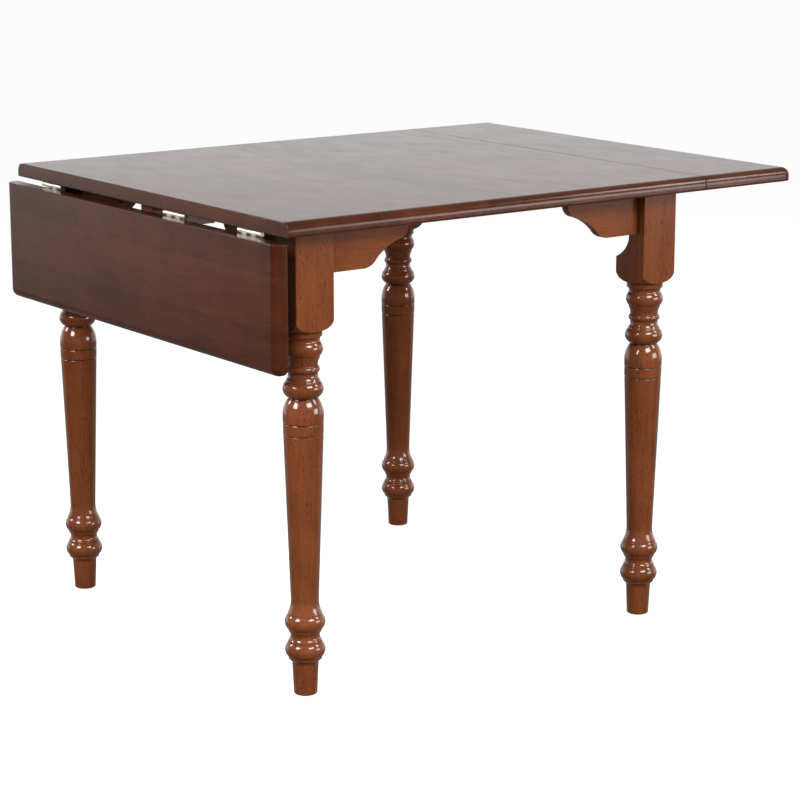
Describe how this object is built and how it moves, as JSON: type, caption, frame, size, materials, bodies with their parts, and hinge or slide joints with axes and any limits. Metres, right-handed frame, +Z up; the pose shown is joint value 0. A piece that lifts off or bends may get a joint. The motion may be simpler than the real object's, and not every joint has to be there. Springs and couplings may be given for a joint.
{
  "type": "drop leaf table",
  "caption": "Square dining table on turned legs with scalloped aprons, a hinged leaf on each of two sides and slide-out leaf supports.",
  "frame": {"origin": "on the floor, in the middle of the outer box of the table with its left leaf hanging and its right leaf raised", "axes": "+Z up, +X across the hinge lines towards the raised leaf, +Y along the hinge lines towards the back"},
  "size_m": [1.0612, 0.838, 0.762],
  "materials": {
    "top_wood": "gloss brown lacquer",
    "leg_wood": "gloss red-brown lacquer",
    "apron_wood": "gloss red-brown lacquer",
    "inner_wood": "unfinished hardwood with a little stain",
    "bracket_steel": "zinc plated",
    "bolt_steel": "zinc plated",
    "screw_steel": "yellow zinc plated",
    "hinge_metal": "satin nickel plated",
    "pin_metal": "bright steel",
    "glide_steel": "nickel plated",
    "bar_enamel": "brown enamel",
    "knob_brass": "satin brass"
  },
  "bodies": {
    "table": {"main_top": "top_wood", "front_left_leg": "leg_wood", "front_left_corner_bracket": "bracket_steel", "front_right_leg": "leg_wood", "front_right_corner_bracket": "bracket_steel", "back_left_leg": "leg_wood", "back_left_corner_bracket": "bracket_steel", "back_right_leg": "leg_wood", "back_right_corner_bracket": "bracket_steel", "front_apron": "apron_wood", "front_screw_strip": "inner_wood", "back_apron": "apron_wood", "back_screw_strip": "inner_wood", "left_apron": "apron_wood", "left_end_guide": "apron_wood", "right_apron": "apron_wood", "right_end_guide": "apron_wood", "centre_guide": "inner_wood", "foot_glides": "glide_steel", "hanger_bolts": "bolt_steel", "bolt_washers": "bolt_steel", "wing_nuts": "bolt_steel", "bracket_screws": "screw_steel", "strip_screws": "screw_steel", "guide_screws": "screw_steel", "top_hinge_screws": "hinge_metal", "left_front_hinge_top_plate": "hinge_metal", "left_front_hinge_pin": "pin_metal", "left_middle_hinge_top_plate": "hinge_metal", "left_middle_hinge_pin": "pin_metal", "left_back_hinge_top_plate": "hinge_metal", "left_back_hinge_pin": "pin_metal", "right_front_hinge_top_plate": "hinge_metal", "right_front_hinge_pin": "pin_metal", "right_middle_hinge_top_plate": "hinge_metal", "right_middle_hinge_pin": "pin_metal", "right_back_hinge_top_plate": "hinge_metal", "right_back_hinge_pin": "pin_metal"},
    "left_leaf": {"left_leaf": "top_wood", "left_front_hinge_leaf_plate": "hinge_metal", "left_middle_hinge_leaf_plate": "hinge_metal", "left_back_hinge_leaf_plate": "hinge_metal", "left_leaf_hinge_screws": "hinge_metal"},
    "right_leaf": {"right_leaf": "top_wood", "right_front_hinge_leaf_plate": "hinge_metal", "right_middle_hinge_leaf_plate": "hinge_metal", "right_back_hinge_leaf_plate": "hinge_metal", "right_leaf_hinge_screws": "hinge_metal"},
    "left_bar": {"left_support_bar": "bar_enamel", "left_bar_knob": "knob_brass"},
    "right_bar": {"right_support_bar": "bar_enamel", "right_bar_knob": "knob_brass"}
  },
  "joints": [
    {"name": "left_leaf_hinge", "type": "hinge", "parent": "table", "child": "left_leaf", "pos_m": [-0.5036, 0, 0.735], "axis": [0, 1, 0], "range_deg": [0, 90]},
    {"name": "right_leaf_hinge", "type": "hinge", "parent": "table", "child": "right_leaf", "pos_m": [0.3264, 0, 0.735], "axis": [0, 1, 0], "range_deg": [0, 90]},
    {"name": "left_bar_slide", "type": "slide", "parent": "table", "child": "left_bar", "axis": [-1, 0, 0], "range_m": [0, 0.175]},
    {"name": "right_bar_slide", "type": "slide", "parent": "table", "child": "right_bar", "axis": [1, 0, 0], "range_m": [0, 0.175]}
  ]
}
